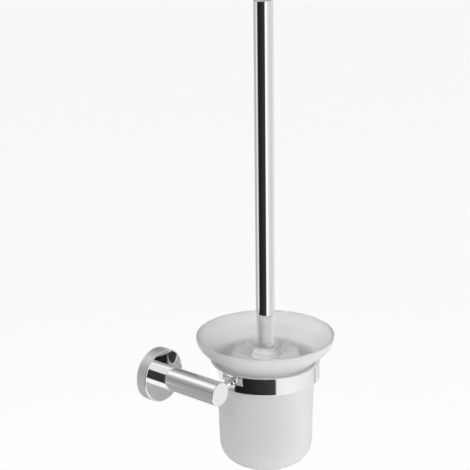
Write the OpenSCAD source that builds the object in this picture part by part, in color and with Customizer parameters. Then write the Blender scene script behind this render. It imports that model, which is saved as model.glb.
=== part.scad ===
// Wall-mounted toilet brush holder: a round arm carries a ring, a frosted glass cup
// stands in the ring, and a brush with a long tubular handle stands in the cup.
// Origin: centre of the wall plate's back face. The wall is the plane Y = 0, the arm
// points along -Y, the cup stands on the +X side, +Z is up.

/* [Wall flange and bracket] */
// Diameter of the round cover on the wall
flange_d = 41.7; // [40:0.1:46]
// Depth of the cover, from the wall to its front face
flange_depth = 9.4; // [9:0.1:12]
// Distance between the two wall screws, one above the other
wall_screw_spacing = 21; // [20.5:0.1:21.5]
// Diameter of each wall screw hole
wall_screw_d = 4.6; // [4:0.1:5]

/* [Arm] */
// Diameter of the round arm
arm_d = 18.4; // [17:0.1:20]
// Distance from the wall to the arm's free end
arm_end = 67; // [65:0.5:75]

/* [Ring] */
// Distance from the wall to the cup's axis
cup_reach = 58.7; // [56:0.1:62]
// Distance from the arm's axis to the cup's axis
cup_side = 63.7; // [60:0.1:75]
// Outer diameter of the ring
ring_d = 86; // [85.5:0.1:90]
// Height of the ring
ring_h = 14; // [12:0.5:14]

/* [Glass cup] */
// Outer diameter of the cup's rim
rim_d = 108; // [104:0.5:114]
// Height of the rim above the ring's middle
rim_z = 27.3; // [24:0.1:30]
// Depth of the cup's base below the ring's middle
base_depth = 81; // [80.5:0.5:84]
// Thickness of the glass
glass_t = 2.6; // [2.4:0.1:2.8]
// Thickness of the glass at the lip
lip_t = 2.0; // [1.6:0.1:2.4]

/* [Brush] */
// Diameter of the handle
handle_d = 14.4; // [14:0.1:16]
// Height of the handle's top above the ring's middle
handle_top = 285; // [200:0.5:340]
// Wall of the handle's tube
handle_wall = 0.8; // [0.6:0.1:1]
// Radius of the bristle tips
bristle_r = 28.4; // [25:0.2:29]
// Tufts in one row of bristles
tufts = 12; // [8:1:14]

/* [Hidden] */
ROWS = 9;
$fn = 96;
eps = 0.01;

// Colours
CHROME = [0.78, 0.79, 0.80];
STEEL = [0.55, 0.56, 0.58];
GLASS = [0.86, 0.88, 0.89, 0.75];
CLEAR_PLASTIC = [0.90, 0.91, 0.92];
WHITE_PLASTIC = [0.93, 0.93, 0.93];
NYLON = [0.97, 0.97, 0.97];

// Wall side. Depths are counted out from the wall.
flange_r = flange_d / 2;
flange_wall = 2.2;
flange_front_t = 2.4;
flange_edge = 0.8;
flange_inner_r = flange_r - flange_wall;
flange_inner_depth = flange_depth - flange_front_t;
bracket_r = flange_inner_r - 0.25;
bracket_t = 2;
bracket_rim_t = 3;
bracket_depth = 6;
groove_at = 3.7;
groove_depth = 1.2;
grub_r = 2;
grub_hole_r = 2.05;
grub_key = 2.3;
grub_socket_h = 1.4;
grub_clear = 0.3;

// Arm and the screw that holds it to the flange
arm_r = arm_d / 2;
arm_edge = 0.6;
arm_screw_r = 3;
arm_screw_hole_r = 3.05;
arm_screw_clear_r = 3.3;
arm_screw_length = 15;
arm_screw_head_r = 5;
arm_screw_head_h = 3;
arm_screw_key = 4.6;
washer_r = 6;
washer_t = 0.8;
arm_screw_seat = flange_inner_depth - washer_t;

// Ring and its post
ring_r = ring_d / 2;
ring_wall = 2.9;
ring_inner_r = ring_r - ring_wall;
ring_edge = 1.0;
ring_top_edge = 0.4;
ring_inner_edge = 0.4;
post_r = 3.25;
post_hole_r = 3.3;
post_depth = 4;
collar_r = 4.6;
collar_t = 1.6;
spigot_r = 2;
spigot_depth = 2;
liner_gap = 0.05;
liner_t = 1.15;
liner_inner_r = ring_inner_r - liner_gap - liner_t;
liner_top = ring_h / 2 - 0.1;
liner_bottom = 0.5 - ring_h / 2;
liner_seat_h = 1.1;
liner_seat_w = 0.45;

// Glass outline. The body tapers downwards from the neck and ends in a
// superellipse. The shoulder is one Bezier curve, the bowl is a superellipse.
rim_r = rim_d / 2;
neck_z = 4;
neck_r = liner_inner_r - 0.35;
body_taper = 0.0275;
base_h = 24.8;
base_power = 2 / 2.9;
base_r = neck_r - body_taper * (neck_z + base_depth - base_h);
bowl_r = 43.1;
bowl_h = rim_z - ring_h / 2;
bowl_power = 0.857;
bowl_start = 51.5;
shoulder_pull = [4.2, 5];

// Handle and its end pieces
handle_r = handle_d / 2;
ferrule_z = 16.9;
ferrule_h = 3.4;
ferrule_r = handle_r + 0.15;
tube_z = ferrule_z + ferrule_h;
cap_h = 1.6;
cap_edge = 0.8;
plug_r = handle_r - handle_wall - 0.02;
plug_h = 10;
insert_r = 4.2;
insert_h = 13;
stud_r = 3;
stud_hole_r = 3.05;
stud_top = 28.4;
stud_bottom = -2;

// Brush head, downwards from the handle
head_washer_t = 1;
head_washer_r = 6.3;
core_top = ferrule_z - head_washer_t;
core_r = 10.2;
core_steps = [[6.6, 13.45], [9.1, 10.1]];
core_bottom = -63;
core_dome = 5;
core_tip_r = 6;
row_top = 5.5;
row_pitch = 7.7;
row_turn = -10;
top_row_short = 1;
tilt_top = 18;
tilt_bottom = -26;
tuft_root_r = 1.3;
tuft_tip_r = 2.5;
band_r = 11.6;
band_h = 3.6;
crown_t = 1.2;
// Rings of tufts under the core: how many, radius, lean outwards, length, lift
crown_rings = [[6, core_tip_r / 2, 35, 13, 0.2], [10, core_tip_r, 64, 18, 0]];
crown_clear = 0.4;

// ---------- shared shapes ----------

// A quarter circle of radius r about c, from angle a0 to a1
function arc(c, r, a0, a1, n = 6) =
    [for (i = [0:n]) let (a = a0 + (a1 - a0) * i / n) c + r * [cos(a), sin(a)]];

function reversed(p) = [for (i = [len(p) - 1:-1:0]) p[i]];

// Turns the children's +Z to point out of the wall, along -Y
module out_of_wall() { rotate([90, 0, 0]) children(); }

module at_cup() { translate([cup_side, -cup_reach, 0]) children(); }

module tube(r, inner_r, h) {
    difference() {
        cylinder(r = r, h = h);
        translate([0, 0, -1]) cylinder(r = inner_r, h = h + 2);
    }
}

// A set screw standing on its point, with a hexagon socket in its head
module grub_screw(length, point_r, point_h) {
    difference() {
        union() {
            translate([0, 0, point_h]) cylinder(r = grub_r, h = length - point_h);
            cylinder(r1 = point_r, r2 = grub_r, h = point_h + eps);
        }
        translate([0, 0, length - grub_socket_h])
            cylinder(d = grub_key, h = grub_socket_h + 1, $fn = 6);
    }
}

// ---------- wall side ----------

module wall_bracket() {
    dish = [
        [0, 0], [bracket_r, 0],
        [bracket_r, groove_at - groove_depth],
        [bracket_r - groove_depth, groove_at],
        [bracket_r, groove_at + groove_depth],
        [bracket_r, bracket_depth],
        [bracket_r - bracket_rim_t, bracket_depth],
        [bracket_r - bracket_rim_t, bracket_t], [0, bracket_t]
    ];
    color(STEEL) out_of_wall() difference() {
        rotate_extrude() polygon(dish);
        for (side = [-1, 1])
            translate([0, side * wall_screw_spacing / 2, -1])
                cylinder(d = wall_screw_d, h = bracket_t + 2);
    }
}

module wall_flange() {
    cover = concat(
        [[flange_inner_r, 0], [flange_r, 0]],
        arc([flange_r - flange_edge, flange_depth - flange_edge], flange_edge, 0, 90),
        [[0, flange_depth], [0, flange_inner_depth], [flange_inner_r, flange_inner_depth]]
    );
    color(CHROME) out_of_wall() difference() {
        rotate_extrude() polygon(cover);
        translate([0, 0, flange_inner_depth - 1])
            cylinder(r = arm_screw_clear_r, h = flange_front_t + 2);
        translate([0, 0, groove_at]) rotate([90, 0, 0])
            cylinder(r = grub_hole_r, h = flange_r + 1);
    }
}

// Its point stands in the bracket's groove, so tightening it pulls the cover to the wall
module flange_grub_screw() {
    point_at = bracket_r - groove_depth + grub_clear;
    color(STEEL) translate([0, -groove_at, -point_at]) rotate([180, 0, 0])
        grub_screw(flange_r - grub_clear - point_at, 0.2, grub_r - 0.2);
}

// ---------- arm ----------

module arm() {
    outline = concat(
        [[0, flange_depth], [arm_r, flange_depth]],
        arc([arm_r - arm_edge, arm_end - arm_edge], arm_edge, 0, 90),
        [[0, arm_end]]
    );
    color(CHROME) difference() {
        out_of_wall() rotate_extrude() polygon(outline);
        out_of_wall() translate([0, 0, flange_depth - 1])
            cylinder(r = arm_screw_hole_r, h = arm_screw_length);
        translate([-post_depth - grub_clear, -cup_reach, 0]) rotate([0, 90, 0])
            cylinder(r = post_hole_r, h = arm_d);
        translate([0, -cup_reach, -arm_d]) cylinder(r = grub_hole_r, h = arm_d);
    }
}

module arm_screw() {
    color(STEEL) out_of_wall() difference() {
        union() {
            translate([0, 0, arm_screw_seat - arm_screw_head_h])
                cylinder(r = arm_screw_head_r, h = arm_screw_head_h);
            translate([0, 0, arm_screw_seat - eps])
                cylinder(r = arm_screw_r, h = arm_screw_length);
        }
        translate([0, 0, arm_screw_seat - arm_screw_head_h - 1])
            cylinder(d = arm_screw_key, h = 3, $fn = 6);
    }
}

module arm_screw_washer() {
    color(STEEL) out_of_wall() translate([0, 0, arm_screw_seat])
        tube(washer_r, arm_screw_clear_r, washer_t);
}

// Locks the ring's post in the arm, from below
module arm_grub_screw() {
    length = arm_r - grub_clear - post_r;
    color(STEEL) translate([0, -cup_reach, -post_r]) rotate([180, 0, 0])
        grub_screw(length, grub_r - 0.4, 0.4);
}

// ---------- ring ----------

module ring_post() {
    reach = cup_side - ring_r;
    color(CHROME) difference() {
        translate([0, -cup_reach, 0]) rotate([0, 90, 0]) union() {
            translate([0, 0, -post_depth]) cylinder(r = post_r, h = post_depth + reach);
            translate([0, 0, reach - collar_t]) cylinder(r = collar_r, h = collar_t + 1);
            cylinder(r = spigot_r, h = reach + spigot_depth);
        }
        at_cup() difference() {
            translate([0, 0, -ring_h]) cylinder(r = ring_r, h = 2 * ring_h);
            translate([-ring_r, 0, 0]) rotate([0, 90, 0])
                cylinder(r = spigot_r, h = spigot_depth + 1);
        }
    }
}

module holder_ring() {
    top = ring_h / 2;
    outline = concat(
        arc([ring_inner_r + ring_inner_edge, ring_inner_edge - top], ring_inner_edge, 180, 270, 3),
        arc([ring_r - ring_edge, ring_edge - top], ring_edge, 270, 360),
        arc([ring_r - ring_top_edge, top - ring_top_edge], ring_top_edge, 0, 90),
        arc([ring_inner_r + ring_inner_edge, top - ring_inner_edge], ring_inner_edge, 90, 180, 3)
    );
    color(CHROME) at_cup() difference() {
        rotate_extrude($fn = 180) polygon(outline);
        translate([-ring_r - 1, 0, 0]) rotate([0, 90, 0])
            cylinder(r = spigot_r + 0.05, h = 1 + spigot_depth + 0.1);
    }
}

// A sleeve in the ring. The glass shoulder rests on the bevel inside its top edge.
module ring_liner() {
    outline = [
        [liner_inner_r, liner_bottom],
        [liner_inner_r + liner_t, liner_bottom],
        [liner_inner_r + liner_t, liner_top],
        [liner_inner_r + liner_seat_w, liner_top],
        [liner_inner_r, liner_top - liner_seat_h]
    ];
    color(CLEAR_PLASTIC) at_cup() rotate_extrude($fn = 180) polygon(outline);
}

// ---------- glass cup ----------

function base_point(a) = [
    base_r * pow(cos(a), base_power),
    base_h - base_depth - base_h * pow(sin(a), base_power)
];

function bowl_point(a) = [
    rim_r - bowl_r + bowl_r * pow(sin(a), bowl_power),
    rim_z - bowl_h * pow(cos(a), bowl_power)
];

function bezier(p0, p1, p2, p3, t) =
    pow(1 - t, 3) * p0 + 3 * t * pow(1 - t, 2) * p1 + 3 * t * t * (1 - t) * p2 + t * t * t * p3;

// From the neck up to the start of the bowl, leaving both without a corner
function shoulder_point(t) =
    let (
        low = [neck_r, neck_z],
        high = bowl_point(bowl_start),
        slope = bowl_point(bowl_start + 1) - high
    )
    bezier(low, low + [0, shoulder_pull[1]],
           high - shoulder_pull[0] * slope / norm(slope), high, t);

// Outer outline from the middle of the base to just under the lip
outer = concat(
    [for (a = [90:-5:5]) base_point(a)],
    [base_point(0)],
    [for (t = [0:0.125:1]) shoulder_point(t)],
    [for (a = [bowl_start + 3.5:3.5:86.5]) bowl_point(a)],
    [[rim_r, rim_z - lip_t / 2]]
);

// The inner outline lies one glass thickness inside, thinner towards the lip
function thickness(z) =
    z < ring_h ? glass_t : glass_t + (lip_t - glass_t) * min(1, (z - ring_h) / (rim_z - ring_h - 1));

function inward(p, i) =
    let (
        before = p[max(i - 1, 0)],
        after = p[min(i + 1, len(p) - 1)],
        run = after - before
    )
    i == 0 ? [0, 1] : i == len(p) - 1 ? [-1, 0] : [-run[1], run[0]] / norm(run);

inner = [for (i = [0:len(outer) - 1]) outer[i] + thickness(outer[i][1]) * inward(outer, i)];

module glass_cup() {
    lip = arc([rim_r - lip_t / 2, rim_z - lip_t / 2], lip_t / 2, 15, 165, 8);
    color(GLASS) at_cup() rotate_extrude($fn = 180) polygon(concat(outer, lip, reversed(inner)));
}

// ---------- handle ----------

module handle_tube() {
    color(CHROME) at_cup() translate([0, 0, tube_z])
        tube(handle_r, handle_r - handle_wall, handle_top - cap_h - tube_z);
}

module handle_top_cap() {
    seat = handle_top - cap_h;
    outline = concat(
        [[0, seat - plug_h], [plug_r, seat - plug_h], [plug_r, seat], [handle_r, seat]],
        arc([handle_r - cap_edge, handle_top - cap_edge], cap_edge, 0, 90),
        [[0, handle_top]]
    );
    color(CHROME) at_cup() rotate_extrude() polygon(outline);
}

// The bead at the handle's lower end, with a plug up into the tube
module handle_ferrule() {
    edge = 0.8;
    outline = concat(
        [[insert_r, ferrule_z]],
        arc([ferrule_r - edge, ferrule_z + edge], edge, 270, 360),
        arc([ferrule_r - edge, tube_z - edge], edge, 0, 70),
        [[plug_r, tube_z], [plug_r, tube_z + plug_h], [insert_r, tube_z + plug_h]]
    );
    color(CHROME) at_cup() rotate_extrude() polygon(outline);
}

module thread_insert() {
    color(STEEL) at_cup() translate([0, 0, ferrule_z + 0.3])
        tube(insert_r, stud_hole_r, insert_h);
}

// ---------- brush head ----------

module head_washer() {
    color(WHITE_PLASTIC) at_cup() translate([0, 0, core_top])
        tube(head_washer_r, stud_hole_r, head_washer_t);
}

module head_stud() {
    color(STEEL) at_cup() translate([0, 0, stud_bottom])
        cylinder(r = stud_r, h = stud_top - stud_bottom);
}

// Stepped collar at the top, plain barrel, rounded lower end
module brush_core() {
    outline = concat(
        [[0, core_bottom], [core_tip_r, core_bottom]],
        [for (a = [15:15:90])
            [core_tip_r + (core_r - core_tip_r) * sin(a), core_bottom + core_dome * (1 - cos(a))]],
        [[core_r, core_steps[1][1]]],
        [[core_steps[1][0], core_steps[1][1]], [core_steps[1][0], core_steps[0][1] + 0.4]],
        [[core_steps[1][0] - 0.4, core_steps[0][1]]],
        [[core_steps[0][0], core_steps[0][1]], [core_steps[0][0], core_top], [0, core_top]]
    );
    color(WHITE_PLASTIC) at_cup() difference() {
        rotate_extrude() polygon(outline);
        translate([0, 0, stud_bottom]) cylinder(r = stud_r, h = core_top - stud_bottom + 1);
    }
}

// One tuft, starting from the origin along +Z and widening to its tip
module tuft(length) {
    cylinder(r1 = tuft_root_r, r2 = tuft_tip_r, h = length, $fn = 24);
}

// Row i: a narrow band of roots around the core, with tufts that fan out. The top
// rows point up and the bottom rows down, and each row stands half a step on.
module bristle_row(i) {
    share = i / (ROWS - 1);
    tilt = tilt_top + (tilt_bottom - tilt_top) * share;
    z = row_top - i * row_pitch;
    root = band_r - 0.6;
    reach = bristle_r - (i == 0 ? top_row_short : 0);
    color(NYLON) at_cup() union() {
        translate([0, 0, z - band_h / 2]) tube(band_r, core_r + 0.05, band_h);
        for (k = [0:tufts - 1])
            rotate([0, 0, row_turn + (k + 0.5 * (i % 2)) * 360 / tufts]) translate([root, 0, z])
                rotate([0, 90 - tilt, 0]) tuft((reach - root) / cos(tilt));
    }
}

// The tufts on the core's lower end: one down the middle and two rings round it
module bristle_crown() {
    floor_z = glass_t - base_depth + crown_clear;
    z = core_bottom - crown_t;
    color(NYLON) at_cup() union() {
        translate([0, 0, z - 0.05]) cylinder(r = core_tip_r + 1.2, h = crown_t);
        translate([0, 0, z + 0.3]) rotate([180, 0, 0]) tuft(z + 0.3 - floor_z);
        for (ring = crown_rings)
            for (k = [0:ring[0] - 1])
                rotate([0, 0, 360 * k / ring[0]]) translate([ring[1], 0, z + ring[4]])
                    rotate([0, 180 - ring[2], 0]) tuft(ring[3]);
    }
}

wall_bracket();
wall_flange();
flange_grub_screw();
arm();
arm_screw();
arm_screw_washer();
arm_grub_screw();
ring_post();
holder_ring();
ring_liner();
glass_cup();
handle_tube();
handle_top_cap();
handle_ferrule();
thread_insert();
head_washer();
head_stud();
brush_core();
bristle_row(0);  // bristle_row_1
bristle_row(1);  // bristle_row_2
bristle_row(2);  // bristle_row_3
bristle_row(3);  // bristle_row_4
bristle_row(4);  // bristle_row_5
bristle_row(5);  // bristle_row_6
bristle_row(6);  // bristle_row_7
bristle_row(7);  // bristle_row_8
bristle_row(8);  // bristle_row_9
bristle_crown();
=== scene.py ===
"""Looks of the wall-mounted toilet brush holder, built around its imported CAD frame.

Metres, +Z up, the wall is the plane Y = 0 and the arm points along -Y. An azimuth
here counts from -Y towards +X, so a camera at azimuth 0 looks straight at the wall.
"""

import math
import random

import bmesh
import bpy
from mathutils import Matrix, Vector


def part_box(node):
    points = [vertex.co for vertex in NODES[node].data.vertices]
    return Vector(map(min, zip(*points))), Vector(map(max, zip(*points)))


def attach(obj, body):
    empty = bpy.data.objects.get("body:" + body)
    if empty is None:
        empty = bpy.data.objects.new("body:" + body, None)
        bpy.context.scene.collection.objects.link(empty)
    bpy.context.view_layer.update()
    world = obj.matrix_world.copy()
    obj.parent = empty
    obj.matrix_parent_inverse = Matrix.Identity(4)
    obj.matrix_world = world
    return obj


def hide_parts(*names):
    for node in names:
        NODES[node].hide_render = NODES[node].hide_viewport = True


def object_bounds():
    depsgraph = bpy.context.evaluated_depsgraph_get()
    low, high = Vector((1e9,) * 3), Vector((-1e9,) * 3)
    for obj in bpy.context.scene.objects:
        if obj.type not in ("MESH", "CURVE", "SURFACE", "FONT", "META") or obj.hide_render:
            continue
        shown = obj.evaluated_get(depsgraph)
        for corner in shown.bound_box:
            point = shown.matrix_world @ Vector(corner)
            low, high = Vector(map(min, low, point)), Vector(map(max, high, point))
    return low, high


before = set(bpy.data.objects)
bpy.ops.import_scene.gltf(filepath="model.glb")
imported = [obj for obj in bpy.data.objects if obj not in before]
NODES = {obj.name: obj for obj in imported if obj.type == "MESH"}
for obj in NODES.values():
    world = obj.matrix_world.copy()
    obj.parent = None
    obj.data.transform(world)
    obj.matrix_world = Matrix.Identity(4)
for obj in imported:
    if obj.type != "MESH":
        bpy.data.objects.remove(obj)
CAD_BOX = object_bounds()
MM = 0.001


# ---------- places and sizes, from the frame ----------

def middle(node):
    low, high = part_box(node)
    return (low + high) / 2


def width(node):
    low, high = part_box(node)
    return high.x - low.x


CUP = middle("holder_ring")
WALL = Vector((0, 0, 0))
ARM = Vector((0, CUP.y, 0))


# ---------- shapes ----------

def arc(centre, radius, start, end, steps=8):
    """Points of an arc in the (radius, height) plane, angles in degrees."""
    points = []
    for i in range(steps + 1):
        angle = math.radians(start + (end - start) * i / steps)
        points.append((centre[0] + radius * math.cos(angle),
                       centre[1] + radius * math.sin(angle)))
    return points


def supported(outline, inset):
    """The outline with extra points close to each corner of its long straight runs."""
    long_run = 6 * inset
    points = []
    for i, here in enumerate(outline):
        there = outline[(i + 1) % len(outline)]
        run = math.dist(here, there)
        points.append(here)
        if run > long_run:
            for share in (inset / run, 1 - inset / run):
                points.append(tuple(a + (b - a) * share for a, b in zip(here, there)))
    return points


def shade(mesh, angle=35):
    """Smooth shading, with an edge kept sharp where it folds by more than the angle."""
    mesh.polygons.foreach_set("use_smooth", [True] * len(mesh.polygons))
    mesh.set_sharp_from_angle(angle=math.radians(angle))


def add(name, mesh, material):
    """Puts the mesh in the scene as a piece of its own."""
    piece = bpy.data.objects.new(name, mesh)
    bpy.context.scene.collection.objects.link(piece)
    mesh.materials.append(material)
    return piece


UP = Matrix.Identity(4)
OUT_OF_WALL = Matrix.Rotation(math.radians(90), 4, "X")
SIDEWAYS = Matrix.Rotation(math.radians(90), 4, "Y")


def lathe(name, outline, material, place=CUP, turn=UP, sides=192, inset=0.06 * MM):
    """A closed outline of (radius, height) points, turned about an axis through place."""
    on_axis = 1e-7
    bm = bmesh.new()
    rings = []
    for radius, height in supported(outline, inset):
        if radius < on_axis:
            rings.append([bm.verts.new((0, 0, height))])
            continue
        rings.append([
            bm.verts.new((radius * math.cos(2 * math.pi * k / sides),
                          radius * math.sin(2 * math.pi * k / sides), height))
            for k in range(sides)
        ])
    for a, b in zip(rings, rings[1:] + rings[:1]):
        if len(a) == 1 and len(b) == 1:
            continue
        for k in range(sides):
            corners = [a[k % len(a)], a[(k + 1) % len(a)], b[(k + 1) % len(b)], b[k % len(b)]]
            bm.faces.new(list(dict.fromkeys(corners)))
    bmesh.ops.recalc_face_normals(bm, faces=bm.faces)
    bmesh.ops.transform(bm, matrix=Matrix.Translation(place) @ turn, verts=bm.verts)
    mesh = bpy.data.meshes.new(name)
    bm.to_mesh(mesh)
    bm.free()
    shade(mesh)
    return add(name, mesh, material)


def bore(piece, start, direction, radius, length):
    """Cuts a round hole into the piece."""
    turn = Vector((0, 0, 1)).rotation_difference(Vector(direction)).to_matrix().to_4x4()
    cutter = lathe("cutter", [(0, 0), (radius, 0), (radius, length), (0, length)],
                   piece.data.materials[0], start, turn, sides=64)
    cut = piece.modifiers.new("bore", "BOOLEAN")
    cut.object = cutter
    cut.solver = "EXACT"
    apply_modifiers(piece)
    bpy.data.objects.remove(cutter)
    shade(piece.data)


def apply_modifiers(piece):
    """Gives the piece the mesh that its modifiers make."""
    graph = bpy.context.evaluated_depsgraph_get()
    mesh = bpy.data.meshes.new_from_object(piece.evaluated_get(graph))
    piece.modifiers.clear()
    piece.data = mesh


def stands_for(piece, node, body):
    """The piece rides on the body and is shown in place of the CAD node."""
    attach(piece, body)
    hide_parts(node)


# ---------- materials ----------

class Nodes:
    """Short calls for building one node tree."""

    def __init__(self, tree):
        self.tree = tree
        tree.nodes.clear()

    def add(self, kind, inputs=None, **settings):
        node = self.tree.nodes.new(kind)
        for key, value in settings.items():
            setattr(node, key, value)
        for key, value in (inputs or {}).items():
            if isinstance(value, bpy.types.NodeSocket):
                self.tree.links.new(value, node.inputs[key])
            else:
                node.inputs[key].default_value = value
        return node

    def maths(self, operation, *values, clamp=False):
        node = self.add("ShaderNodeMath", dict(enumerate(values)), operation=operation)
        node.use_clamp = clamp
        return node.outputs[0]

    def noise(self, vector, scale, detail=3.0, roughness=0.5):
        return self.add("ShaderNodeTexNoise", {
            "Vector": vector, "Scale": scale, "Detail": detail, "Roughness": roughness,
        }).outputs["Fac"]

    def ramp(self, value, stops):
        """Linear ramp through (position, grey level) stops."""
        node = self.add("ShaderNodeValToRGB", {"Fac": value})
        elements = node.color_ramp.elements
        while len(elements) < len(stops):
            elements.new(0.5)
        for element, (position, level) in zip(elements, stops):
            element.position = position
            element.color = (level, level, level, 1)
        return node.outputs["Color"]

    def spread(self, value, low, high):
        """Maps 0..1 to low..high."""
        return self.add("ShaderNodeMapRange", {
            "Value": value, "To Min": low, "To Max": high,
        }).outputs[0]

    def step(self, value, start, end):
        """0 where the value is at start, 1 where it is at end, clamped outside."""
        return self.add("ShaderNodeMapRange", {
            "Value": value, "From Min": start, "From Max": end,
        }).outputs[0]

    def mix(self, share, first, second):
        node = self.add("ShaderNodeMix", {"Factor": share}, data_type="RGBA")
        for socket, value in ((node.inputs["A"], first), (node.inputs["B"], second)):
            if isinstance(value, bpy.types.NodeSocket):
                self.tree.links.new(value, socket)
            else:
                socket.default_value = value
        return node.outputs["Result"]

    def bump(self, height, strength, distance):
        return self.add("ShaderNodeBump", {
            "Height": height, "Strength": strength, "Distance": distance,
        }).outputs["Normal"]


def material(name):
    made = bpy.data.materials.new(name)
    made.use_nodes = True
    nodes = Nodes(made.node_tree)
    place = nodes.add("ShaderNodeTexCoord").outputs["Object"]
    output = nodes.add("ShaderNodeOutputMaterial")
    return made, nodes, place, output


def principled(nodes, output, inputs):
    shader = nodes.add("ShaderNodeBsdfPrincipled", inputs)
    nodes.tree.links.new(shader.outputs[0], output.inputs["Surface"])


def grey(level):
    return (level, level, level, 1)


def chrome(name="chrome", smooth=0.015, hazy=0.075):
    """Plated metal: a faint haze, finger smears and the slight waviness of plating.
    smooth and hazy are the roughness where it is clean and where it is smeared."""
    made, nodes, place, output = material(name)
    smear = nodes.noise(place, 45, 4, 0.55)
    grain = nodes.noise(place, 900, 2)
    haze = nodes.maths("MULTIPLY_ADD", grain, 0.25, nodes.maths("MULTIPLY", smear, 0.75))
    wave = nodes.noise(place, 60, 1)
    principled(nodes, output, {
        "Base Color": nodes.mix(haze, grey(0.93), grey(0.98)),
        "Metallic": 1.0,
        "Roughness": nodes.spread(haze, smooth, hazy),
        "Normal": nodes.bump(wave, 0.05, 0.0002),
    })
    return made


def zinc_steel():
    """Plated screws and bracket: fine scratches with a mottled sheen."""
    made, nodes, place, output = material("zinc_steel")
    mottle = nodes.noise(place, 350, 5, 0.6)
    stretched = nodes.add("ShaderNodeMapping", {"Vector": place, "Scale": (1, 1, 12)}).outputs[0]
    scratch = nodes.noise(stretched, 600, 2)
    principled(nodes, output, {
        "Base Color": nodes.mix(mottle, (0.47, 0.48, 0.50, 1), (0.66, 0.67, 0.68, 1)),
        "Metallic": 1.0,
        "Roughness": nodes.spread(mottle, 0.25, 0.5),
        "Normal": nodes.bump(scratch, 0.15, 0.00005),
    })
    return made


def frosted_glass():
    """Acid-etched glass: milky, almost opaque, with a very fine etched grain."""
    made, nodes, place, output = material("frosted_glass")
    etch = nodes.noise(place, 2600, 3, 0.6)
    cloud = nodes.noise(place, 28, 3)
    principled(nodes, output, {
        "Base Color": nodes.mix(cloud, (0.895, 0.897, 0.898, 1), (0.925, 0.927, 0.928, 1)),
        "Roughness": nodes.spread(etch, 0.38, 0.50),
        "IOR": 1.5,
        "Specular IOR Level": 0.5,
        "Subsurface Weight": 1.0,
        "Subsurface Radius": (1.0, 1.0, 1.0),
        "Subsurface Scale": 0.004,
        "Transmission Weight": 0.5,
        "Normal": nodes.bump(etch, 0.10, 0.00003),
    })
    return made


def liner_plastic():
    """Clear moulded gasket, slightly milky."""
    made, nodes, place, output = material("liner_plastic")
    cloud = nodes.noise(place, 120, 3)
    principled(nodes, output, {
        "Base Color": nodes.mix(cloud, grey(0.80), grey(0.86)),
        "Roughness": nodes.spread(cloud, 0.28, 0.42),
        "IOR": 1.46,
        "Transmission Weight": 0.35,
    })
    return made


def white_plastic():
    """Moulded polypropylene: soft sheen with a fine pebbled skin."""
    made, nodes, place, output = material("white_plastic")
    pebble = nodes.noise(place, 1400, 2)
    cloud = nodes.noise(place, 90, 3)
    principled(nodes, output, {
        "Base Color": nodes.mix(cloud, grey(0.84), grey(0.89)),
        "Roughness": nodes.spread(pebble, 0.34, 0.48),
        "Normal": nodes.bump(pebble, 0.12, 0.00004),
    })
    return made


def nylon():
    """Bristle filaments: each one a little lighter or darker, with a waxy sheen."""
    made, nodes, place, output = material("nylon")
    shade_of = nodes.noise(place, 500, 2)
    principled(nodes, output, {
        "Base Color": nodes.mix(shade_of, grey(0.80), grey(0.95)),
        "Roughness": nodes.spread(shade_of, 0.32, 0.5),
        "Subsurface Weight": 0.3,
        "Subsurface Radius": (1.0, 1.0, 1.0),
        "Subsurface Scale": 0.0006,
    })
    return made


CHROME = chrome()
SATIN = chrome("satin_chrome", smooth=0.42, hazy=0.52)
STEEL = zinc_steel()
GLASS = frosted_glass()
LINER = liner_plastic()
PLASTIC = white_plastic()
NYLON = nylon()


# ---------- wall side and arm ----------

SET_SCREW_HOLE = 2.05 * MM


def wall_flange():
    """Hollow cover. Its round side is duller than its face and its front edge."""
    low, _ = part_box("wall_flange")
    radius, depth = width("wall_flange") / 2, -low.y
    wall, front, edge, back_edge, screw = 2.2 * MM, 2.4 * MM, 0.8 * MM, 0.3 * MM, 3.3 * MM
    outline = [(radius - wall, 0)]
    outline += arc((radius - back_edge, back_edge), back_edge, 270, 360, 4)
    outline += arc((radius - edge, depth - edge), edge, 0, 90, 10)
    outline += [(screw, depth), (screw, depth - front), (radius - wall, depth - front)]
    cover = lathe("wall_cover", outline, CHROME, WALL, OUT_OF_WALL)
    cover.data.materials.append(SATIN)
    satin_slot, most_lean = 1, 0.3
    for face in cover.data.polygons:
        outside = math.hypot(face.center.x, face.center.z) > radius - edge
        if outside and abs(face.normal.y) < most_lean:
            face.material_index = satin_slot
    screw_at = middle("flange_grub_screw")
    above, deep = 1 * MM, 8 * MM
    bore(cover, (screw_at.x, screw_at.y, screw_at.z + above), (0, 0, -1), SET_SCREW_HOLE, deep)
    stands_for(cover, "wall_flange", "holder")


def arm():
    """Round bar with a hole in its side for the ring's post and one below for its set screw."""
    low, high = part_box("arm")
    radius, start, end = width("arm") / 2, -high.y, -low.y
    edge, post_hole, sunk, deep = 0.6 * MM, 3.3 * MM, 3 * MM, 4 * MM
    outline = [(0, start), (radius, start)]
    outline += arc((radius - edge, end - edge), edge, 0, 90, 8) + [(0, end)]
    bar = lathe("round_arm", outline, CHROME, WALL, OUT_OF_WALL)
    bore(bar, (radius - sunk, ARM.y, 0), (1, 0, 0), post_hole, deep)
    bore(bar, (0, ARM.y, sunk - radius), (0, 0, -1), SET_SCREW_HOLE, deep)
    stands_for(bar, "arm", "holder")


def ring_post():
    """Pin with a collar, which ends just inside the ring's curved side."""
    low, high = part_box("ring_post")
    reach = CUP.x - width("holder_ring") / 2
    end = reach + 0.4 * MM
    shaft, collar, thick, edge = 3.25 * MM, (high.z - low.z) / 2, 1.6 * MM, 0.35 * MM
    outline = [(0, low.x), (shaft, low.x), (shaft, reach - thick)]
    outline += arc((collar - edge, reach - thick + edge), edge, 270, 360, 6)
    outline += [(collar, end), (0, end)]
    post = lathe("ring_post_pin", outline, CHROME, ARM, SIDEWAYS, sides=96)
    stands_for(post, "ring_post", "holder")


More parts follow.
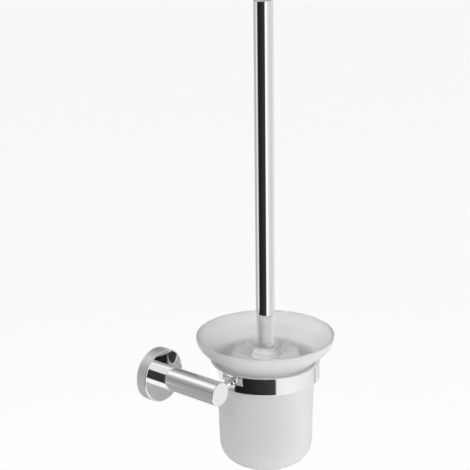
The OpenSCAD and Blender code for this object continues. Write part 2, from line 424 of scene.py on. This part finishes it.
def holder_ring():
    _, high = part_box("holder_ring")
    outer, top = width("holder_ring") / 2, high.z
    inner, edge, top_edge, inside = outer - 2.9 * MM, 1.0 * MM, 0.4 * MM, 0.4 * MM
    outline = arc((inner + inside, inside - top), inside, 180, 270, 5)
    outline += arc((outer - edge, edge - top), edge, 270, 360, 12)
    outline += arc((outer - top_edge, top - top_edge), top_edge, 0, 90, 12)
    outline += arc((inner + inside, top - inside), inside, 90, 180, 5)
    ring = lathe("cup_ring", outline, CHROME, CUP, UP, sides=288)
    stands_for(ring, "holder_ring", "holder")


def ring_liner():
    low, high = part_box("ring_liner")
    outer, top, bottom = width("ring_liner") / 2, high.z, low.z
    inner, edge, bevel_w, bevel_h = outer - 1.15 * MM, 0.2 * MM, 0.45 * MM, 1.1 * MM
    outline = [(inner, bottom)] + arc((outer - edge, bottom + edge), edge, 270, 360, 4)
    outline += arc((outer - edge, top - edge), edge, 0, 90, 4)
    outline += [(inner + bevel_w, top), (inner, top - bevel_h)]
    liner = lathe("ring_gasket", outline, LINER, CUP, UP, sides=240)
    stands_for(liner, "ring_liner", "seat")


# ---------- glass ----------

def bezier(p0, p1, p2, p3, t):
    weights = ((1 - t) ** 3, 3 * t * (1 - t) ** 2, 3 * t * t * (1 - t), t ** 3)
    return tuple(sum(w * p[i] for w, p in zip(weights, (p0, p1, p2, p3))) for i in (0, 1))


def inward(points, i):
    """Unit normal of an outline that climbs on the outside, pointing into the glass."""
    before, after = points[max(i - 1, 0)], points[min(i + 1, len(points) - 1)]
    run = math.dist(before, after)
    return (-(after[1] - before[1]) / run, (after[0] - before[0]) / run)


def glass_outline():
    """The CAD cup's outline, drawn finer: superellipse base, tapered body, curved
    shoulder at the ring, superellipse bowl and a round lip."""
    low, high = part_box("glass_cup")
    rim_r, rim_z, base_z = width("glass_cup") / 2, high.z, low.z
    thick, lip_t = 2.6 * MM, 2.0 * MM
    neck_r, neck_z, taper = 38.55 * MM, 4 * MM, 0.0275
    base_h, base_power = 24.8 * MM, 2 / 2.9
    base_r = neck_r - taper * (neck_z - base_z - base_h)
    bowl_r, bowl_power, bowl_start = 43.1 * MM, 0.857, 51.5
    ring_top = 7 * MM
    bowl_h = rim_z - ring_top
    pull_low, pull_high = 5 * MM, 4.2 * MM
    thins_from, thins_over = 14 * MM, rim_z - 15 * MM
    base_step, shoulder_steps, bowl_step, bowl_steps = 2, 16, 1.75, 21

    def base_point(angle):
        a = math.radians(angle)
        return (base_r * math.cos(a) ** base_power,
                base_z + base_h - base_h * math.sin(a) ** base_power)

    def bowl_point(angle):
        a = math.radians(angle)
        return (rim_r - bowl_r + bowl_r * math.sin(a) ** bowl_power,
                rim_z - bowl_h * math.cos(a) ** bowl_power)

    start, ahead = bowl_point(bowl_start), bowl_point(bowl_start + 1)
    pull = pull_high / math.dist(start, ahead)
    neck = (neck_r, neck_z)
    above_neck = (neck_r, neck_z + pull_low)
    below_bowl = tuple(s - pull * (a - s) for s, a in zip(start, ahead))
    outer = [(0, base_z)]
    outer += [base_point(angle) for angle in range(90 - base_step, -1, -base_step)]
    outer += [bezier(neck, above_neck, below_bowl, start, i / shoulder_steps)
              for i in range(shoulder_steps + 1)]
    outer += [bowl_point(bowl_start + bowl_step * i) for i in range(1, bowl_steps + 1)]
    outer += [(rim_r, rim_z - lip_t / 2)]

    def thickness(z):
        share = min(1, max(0, (z - thins_from) / thins_over))
        return thick + (lip_t - thick) * share

    inner = []
    for i, (r, z) in enumerate(outer):
        normal = (0, 1) if i == 0 else (-1, 0) if i == len(outer) - 1 else inward(outer, i)
        inner.append((max(0, r + thickness(z) * normal[0]), z + thickness(z) * normal[1]))
    lip = arc((rim_r - lip_t / 2, rim_z - lip_t / 2), lip_t / 2, 15, 165, 10)
    return outer + lip + inner[::-1]


def glass_cup():
    cup = lathe("frosted_cup", glass_outline(), GLASS, CUP, UP, sides=256, inset=2 * MM)
    stands_for(cup, "glass_cup", "cup")


# ---------- handle ----------

HANDLE_R = width("handle_tube") / 2
PLUG_R = HANDLE_R - 0.82 * MM


def handle_tube():
    low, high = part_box("handle_tube")
    inner, edge = HANDLE_R - 0.8 * MM, 0.15 * MM
    outline = [(inner, low.z)] + arc((HANDLE_R - edge, low.z + edge), edge, 270, 360, 3)
    outline += [(HANDLE_R, high.z), (inner, high.z)]
    tube = lathe("handle_shaft", outline, CHROME)
    stands_for(tube, "handle_tube", "handle")


def handle_top_cap():
    low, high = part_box("handle_top_cap")
    seat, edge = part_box("handle_tube")[1].z, 0.8 * MM
    outline = [(0, low.z), (PLUG_R, low.z), (PLUG_R, seat), (HANDLE_R, seat)]
    outline += arc((HANDLE_R - edge, high.z - edge), edge, 0, 90, 10) + [(0, high.z)]
    cap = lathe("handle_end_cap", outline, CHROME)
    stands_for(cap, "handle_top_cap", "handle")


def handle_ferrule():
    low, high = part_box("handle_ferrule")
    seat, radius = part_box("handle_tube")[0].z, width("handle_ferrule") / 2
    edge, hole = 0.8 * MM, 4.2 * MM
    outline = [(hole, low.z)] + arc((radius - edge, low.z + edge), edge, 270, 360, 8)
    outline += arc((radius - edge, seat - edge), edge, 0, 70, 8)
    outline += [(PLUG_R, seat), (PLUG_R, high.z), (hole, high.z)]
    bead = lathe("handle_bead", outline, CHROME)
    stands_for(bead, "handle_ferrule", "handle")


# ---------- brush head ----------

def brush_core():
    """Plastic barrel with a domed lower end and a collar in two steps above."""
    low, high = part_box("brush_core")
    radius, tip, dome, stud = width("brush_core") / 2, 6 * MM, 5 * MM, 3 * MM
    collar_r, collar_z, shoulder_r, shoulder_z = 6.6 * MM, 13.45 * MM, 9.1 * MM, 10.1 * MM
    round_r, stud_bottom, dome_steps = 0.4 * MM, -2 * MM, 8
    outline = [(0, low.z), (tip, low.z)]
    for i in range(1, dome_steps + 1):
        angle = math.radians(90 * i / dome_steps)
        outline.append((tip + (radius - tip) * math.sin(angle),
                        low.z + dome * (1 - math.cos(angle))))
    outline += arc((radius - round_r, shoulder_z - round_r), round_r, 0, 90, 4)
    outline += [(shoulder_r, shoulder_z)]
    outline += arc((shoulder_r - round_r, collar_z - round_r), round_r, 0, 90, 4)
    outline += [(collar_r, collar_z)]
    outline += arc((collar_r - round_r, high.z - round_r), round_r, 0, 90, 4)
    outline += [(stud, high.z), (stud, stud_bottom), (0, stud_bottom)]
    core = lathe("brush_barrel", outline, PLASTIC, sides=128)
    stands_for(core, "brush_core", "brush_head")


FILAMENT_R, FILAMENT_TAPER = 0.17 * MM, 0.25
FILAMENT_SAG = 0.35 * MM
SHORTEST_FILAMENT = 0.955  # as a share of the tuft's length


def filament(bm, root, direction, length, sag, sides=3, steps=4):
    """One thin curved bristle. sag bends its tip sideways."""
    side = direction.orthogonal().normalized()
    other = direction.cross(side)
    rings = []
    for i in range(steps + 1):
        share = i / steps
        centre = root + direction * (length * share) + sag * share * share
        size = FILAMENT_R * (1 - FILAMENT_TAPER * share)
        rings.append([
            bm.verts.new(centre + side * (size * math.cos(2 * math.pi * k / sides))
                         + other * (size * math.sin(2 * math.pi * k / sides)))
            for k in range(sides)
        ])
    for a, b in zip(rings, rings[1:]):
        for k in range(sides):
            bm.faces.new((a[k], a[(k + 1) % sides], b[(k + 1) % sides], b[k]))
    bm.faces.new(rings[0][::-1])
    bm.faces.new(rings[-1])


def tuft(bm, root, direction, length, rng, count=52, root_r=1.25 * MM, spread=0.165):
    """A bundle of filaments that leaves one hole and fans out."""
    side = direction.orthogonal().normalized()
    other = direction.cross(side)
    for _ in range(count):
        turn, share = rng.uniform(0, 2 * math.pi), math.sqrt(rng.random())
        away = side * math.cos(turn) + other * math.sin(turn)
        lean = (direction + away * (spread * share)).normalized()
        sag = side * rng.gauss(0, FILAMENT_SAG) + other * rng.gauss(0, FILAMENT_SAG)
        filament(bm, root + away * (root_r * share), lean,
                 length * rng.uniform(SHORTEST_FILAMENT, 1.0), sag)


def brush(name, node, tufts, seed):
    """Tufts given as (root, direction, length), as one piece in place of a CAD node."""
    rng = random.Random(seed)
    bm = bmesh.new()
    for root, direction, length in tufts:
        tuft(bm, root, direction, length, rng)
    mesh = bpy.data.meshes.new(name)
    bm.to_mesh(mesh)
    bm.free()
    shade(mesh, angle=70)
    piece = add(name, mesh, NYLON)
    stands_for(piece, node, "brush_head")


def polar(radius, angle, z):
    """A place round the cup's axis, with the angle in radians."""
    return CUP + Vector((radius * math.cos(angle), radius * math.sin(angle), z))


ROWS, TUFTS = 9, 12
CORE_R = width("brush_core") / 2
ROW_TOP, ROW_PITCH = 5.5 * MM, 7.7 * MM
TILT_TOP, TILT_BOTTOM = 18, -26
ROW_TURN = -10
ROOT_SUNK, TIP_ROOM = 0.6 * MM, 1.2 * MM
ROW_SEED, CROWN_SEED = 40, 60
# Rings of tufts under the core: how many, radius, lean outwards in degrees, length
CROWN_RINGS = ((6, 3 * MM, 35, 13.4 * MM), (10, 6 * MM, 64, 18.4 * MM))


def bristle_row(i):
    """Row i from the top. The top rows point up and the bottom rows down."""
    tilt = math.radians(TILT_TOP + (TILT_BOTTOM - TILT_TOP) * i / (ROWS - 1))
    node = f"bristle_row_{i + 1}"
    reach = width(node) / 2 - TIP_ROOM
    root_r, z = CORE_R - ROOT_SUNK, ROW_TOP - i * ROW_PITCH
    tufts = []
    for k in range(TUFTS):
        angle = math.radians(ROW_TURN + (k + 0.5 * (i % 2)) * 360 / TUFTS)
        direction = Vector((math.cos(angle) * math.cos(tilt), math.sin(angle) * math.cos(tilt),
                            math.sin(tilt)))
        tufts.append((polar(root_r, angle, z), direction, (reach - root_r) / math.cos(tilt)))
    brush(f"bristles_{i + 1}", node, tufts, ROW_SEED + i)


def bristle_crown():
    """One tuft down the middle of the core's lower end and two rings round it."""
    low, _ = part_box("bristle_crown")
    sunk, floor_room = 0.4 * MM, 0.5 * MM
    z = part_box("brush_core")[0].z + sunk
    tufts = [(polar(0, 0, z), Vector((0, 0, -1)), z - low.z - floor_room)]
    for count, radius, lean, length in CROWN_RINGS:
        for k in range(count):
            angle, tip = 2 * math.pi * k / count, math.radians(lean)
            direction = Vector((math.cos(angle) * math.sin(tip), math.sin(angle) * math.sin(tip),
                                -math.cos(tip)))
            tufts.append((polar(radius, angle, z), direction, length))
    brush("bristles_end", "bristle_crown", tufts, CROWN_SEED)


# ---------- CAD nodes that stay as they are ----------

KEPT = {
    "wall_bracket": STEEL, "flange_grub_screw": STEEL, "arm_screw": STEEL,
    "arm_screw_washer": STEEL, "arm_grub_screw": STEEL, "thread_insert": STEEL,
    "head_stud": STEEL, "head_washer": PLASTIC,
}


def finish_kept_nodes():
    for name, finish in KEPT.items():
        mesh = NODES[name].data
        mesh.materials.clear()
        mesh.materials.append(finish)


# ---------- studio ----------

FLOOR_HALF, FLOOR_DROP = 6, 0.35


def floor():
    """Pale floor well below the cup. Reflections and diffuse light don't see it, because
    the studio gives them, and it throws no shadow."""
    made, nodes, place, output = material("floor_paper")
    fleck = nodes.noise(place, 40, 4)
    principled(nodes, output, {
        "Base Color": nodes.mix(fleck, grey(0.90), grey(0.93)),
        "Roughness": 0.9,
        "Emission Color": grey(1.0),
        "Emission Strength": 0.60,
    })
    mesh = bpy.data.meshes.new("floor")
    bm = bmesh.new()
    bmesh.ops.create_grid(bm, x_segments=8, y_segments=8, size=FLOOR_HALF)
    bmesh.ops.translate(bm, verts=bm.verts, vec=(0, 0, CAD_BOX[0][2] - FLOOR_DROP))
    bm.to_mesh(mesh)
    bm.free()
    sheet = add("floor", mesh, made)
    sheet.visible_glossy = False
    sheet.visible_diffuse = False
    sheet.visible_shadow = False


# What the chrome reflects, as (azimuth, grey level): panels near eye level, just below
# it and far below. The levels near 0.01 to 0.05 are black flags.
LEVEL_PANELS = (
    (-180, 0.45), (-152, 0.50), (-149, 0.85), (-132.5, 0.85), (-131, 0.36), (-125.5, 0.34),
    (-121, 0.012), (-90, 0.018), (-50, 0.035), (-35, 0.045), (-31, 1.08), (-15, 1.06),
    (0, 0.76), (20, 0.70), (41, 0.62), (60, 0.72), (80, 0.85), (98, 0.6), (115, 0.40),
    (150, 0.65), (180, 0.45))
LOWER_PANELS = (
    (-180, 1.1), (-150, 1.1), (-145, 0.36), (-122, 0.35), (-117, 0.010), (-90, 0.014),
    (-60, 0.03), (-31, 0.05), (-28, 0.82), (-15, 0.90), (0, 0.92), (40, 0.86), (60, 0.80),
    (72, 0.72), (75, 0.48), (78, 0.48), (81, 0.80), (92, 0.82), (95, 0.56), (98, 0.58),
    (102, 0.86), (125, 1.1), (180, 1.1))
DEEP_PANELS = ((-180, 0.39), (-110, 0.39), (-80, 1.0), (80, 1.0), (110, 0.39), (180, 0.39))

# The height of the direction looked along, where one band of panels gives way to the next
LOWER_BAND, DEEP_BAND = (-0.355, -0.375), (-0.50, -0.60)

# Soft box above and behind, as (cosine of the angle from its middle, grey level). In
# front it starts higher up, by SOFT_BOX_RISE for each unit towards the front.
SOFT_BOX_AT = Vector((-0.19, 0.62, 0.76)).normalized()
SOFT_BOX = (
    (0.0, 0.95), (0.25, 0.80), (0.36, 0.16), (0.58, 0.20), (0.75, 0.28), (0.80, 0.34),
    (0.87, 0.36), (0.93, 0.48), (0.977, 0.78), (0.995, 1.0), (1.0, 1.05))
SOFT_BOX_BAND, SOFT_BOX_RISE = (0.10, 0.20), 0.6

# What lights the glass and the plastic, as (azimuth, grey level): the low part is bright
# on the right, the high part on the left, and all of it is even from far below
LOW_LIGHT = (
    (-180, 0.50), (-120, 0.50), (-66, 0.22), (-38, 0.42), (-10, 1.35), (40, 2.50),
    (80, 2.2), (110, 1.3), (150, 0.45), (180, 0.50))
HIGH_LIGHT = (
    (-180, 0.50), (-130, 0.60), (-80, 0.60), (-30, 0.42), (40, 0.16), (100, 0.05),
    (140, 0.07), (180, 0.50))
UNDER_LIGHT = 1.05
HIGH_BAND, UNDER_BAND = (0.0, 0.30), (-0.50, -0.85)


def studio():
    """The surroundings: panels and a soft box for reflections, a soft gradient for
    diffuse and transmitted light, and plain white for the camera."""
    world = bpy.data.worlds.new("studio")
    bpy.context.scene.world = world
    world.use_nodes = True
    nodes = Nodes(world.node_tree)
    direction = nodes.add("ShaderNodeTexCoord").outputs["Generated"]
    split = nodes.add("ShaderNodeSeparateXYZ", {0: direction}).outputs
    x, y, z = split[0], split[1], split[2]
    azimuth = nodes.maths("ARCTAN2", x, nodes.maths("MULTIPLY", y, -1.0))
    around = nodes.maths("MULTIPLY_ADD", azimuth, 1 / (2 * math.pi), 0.5)

    def panels(stops):
        return nodes.ramp(around, [((degrees + 180) / 360, level) for degrees, level in stops])

    near = nodes.mix(nodes.step(z, *LOWER_BAND), panels(LEVEL_PANELS), panels(LOWER_PANELS))
    walls = nodes.mix(nodes.step(z, *DEEP_BAND), near, panels(DEEP_PANELS))
    facing = nodes.add("ShaderNodeVectorMath", {0: direction, 1: SOFT_BOX_AT},
                       operation="DOT_PRODUCT").outputs["Value"]
    in_front = nodes.maths("MAXIMUM", nodes.maths("MULTIPLY", y, -1.0), 0.0)
    height = nodes.maths("MULTIPLY_ADD", in_front, -SOFT_BOX_RISE, z)
    reflected = nodes.mix(nodes.step(height, *SOFT_BOX_BAND), walls, nodes.ramp(facing, SOFT_BOX))

    sides = nodes.mix(nodes.step(z, *HIGH_BAND), panels(LOW_LIGHT), panels(HIGH_LIGHT))
    soft = nodes.mix(nodes.step(z, *UNDER_BAND), sides, grey(UNDER_LIGHT))

    path = nodes.add("ShaderNodeLightPath").outputs
    is_mirrored = nodes.maths("SUBTRACT", path["Is Glossy Ray"], path["Is Transmission Ray"],
                              clamp=True)
    seen = nodes.mix(is_mirrored, soft, reflected)
    colour = nodes.mix(path["Is Camera Ray"], seen, grey(1.0))
    lit = nodes.add("ShaderNodeBackground", {"Color": colour, "Strength": 1.0}).outputs[0]
    nodes.add("ShaderNodeOutputWorld", {"Surface": lit})


def aim(azimuth, elevation, roll):
    """Rotation of something that looks back at the object from there, degrees."""
    a, e, r = (math.radians(v) for v in (azimuth, elevation, roll))
    back = Vector((math.sin(a) * math.cos(e), -math.cos(a) * math.cos(e), math.sin(e)))
    right = Vector((0, 0, 1)).cross(back).normalized()
    up = back.cross(right)
    turned_right = right * math.cos(r) + up * math.sin(r)
    turned_up = -right * math.sin(r) + up * math.cos(r)
    return Matrix((turned_right, turned_up, back)).transposed()


def lamp(name, azimuth, elevation, distance, size, power, spread=180, shadow=True):
    """A round panel that faces the cup's axis and isn't seen in the chrome. spread is its
    beam in degrees. Without shadow it only lifts the dark sides."""
    light = bpy.data.lights.new(name, "AREA")
    light.shape = "DISK"
    light.size = size
    light.energy = power
    light.spread = math.radians(spread)
    light.use_shadow = shadow
    lamp_object = bpy.data.objects.new(name, light)
    bpy.context.scene.collection.objects.link(lamp_object)
    turn = aim(azimuth, elevation, 0)
    centre = Vector((CUP.x, CUP.y, 0))
    lamp_object.matrix_world = Matrix.Translation(centre + turn.col[2] * distance) @ turn.to_4x4()
    lamp_object.visible_glossy = False
    lamp_object.visible_camera = False


def camera():
    """The photograph's viewpoint, fitted to the outlines of the rim, ring, arm and rod."""
    place, turn = (-0.6644, -0.6492, 0.3925), aim(azimuth=-49.577, elevation=16.89, roll=-0.78)
    data = bpy.data.cameras.new("camera")
    data.sensor_width = 36
    data.lens = 98.5
    data.clip_start, data.clip_end = 0.01, 50
    view = bpy.data.objects.new("camera", data)
    bpy.context.scene.collection.objects.link(view)
    view.matrix_world = Matrix.Translation(place) @ turn.to_4x4()
    bpy.context.scene.camera = view


wall_flange()
arm()
ring_post()
holder_ring()
ring_liner()
glass_cup()
handle_tube()
handle_top_cap()
handle_ferrule()
brush_core()
for row in range(ROWS):
    bristle_row(row)
bristle_crown()
finish_kept_nodes()
floor()
studio()
lamp("key", azimuth=-70, elevation=45, distance=1.0, size=0.5, power=1.6)
lamp("down", azimuth=0, elevation=90, distance=0.5, size=0.062, power=0.004, spread=6)
lamp("fill", azimuth=-62, elevation=5, distance=1.2, size=0.6, power=1.9, shadow=False)
lamp("fill_right", azimuth=-5, elevation=20, distance=1.2, size=0.6, power=1.2, shadow=False)
camera()
bpy.context.scene.view_settings.view_transform = "Standard"
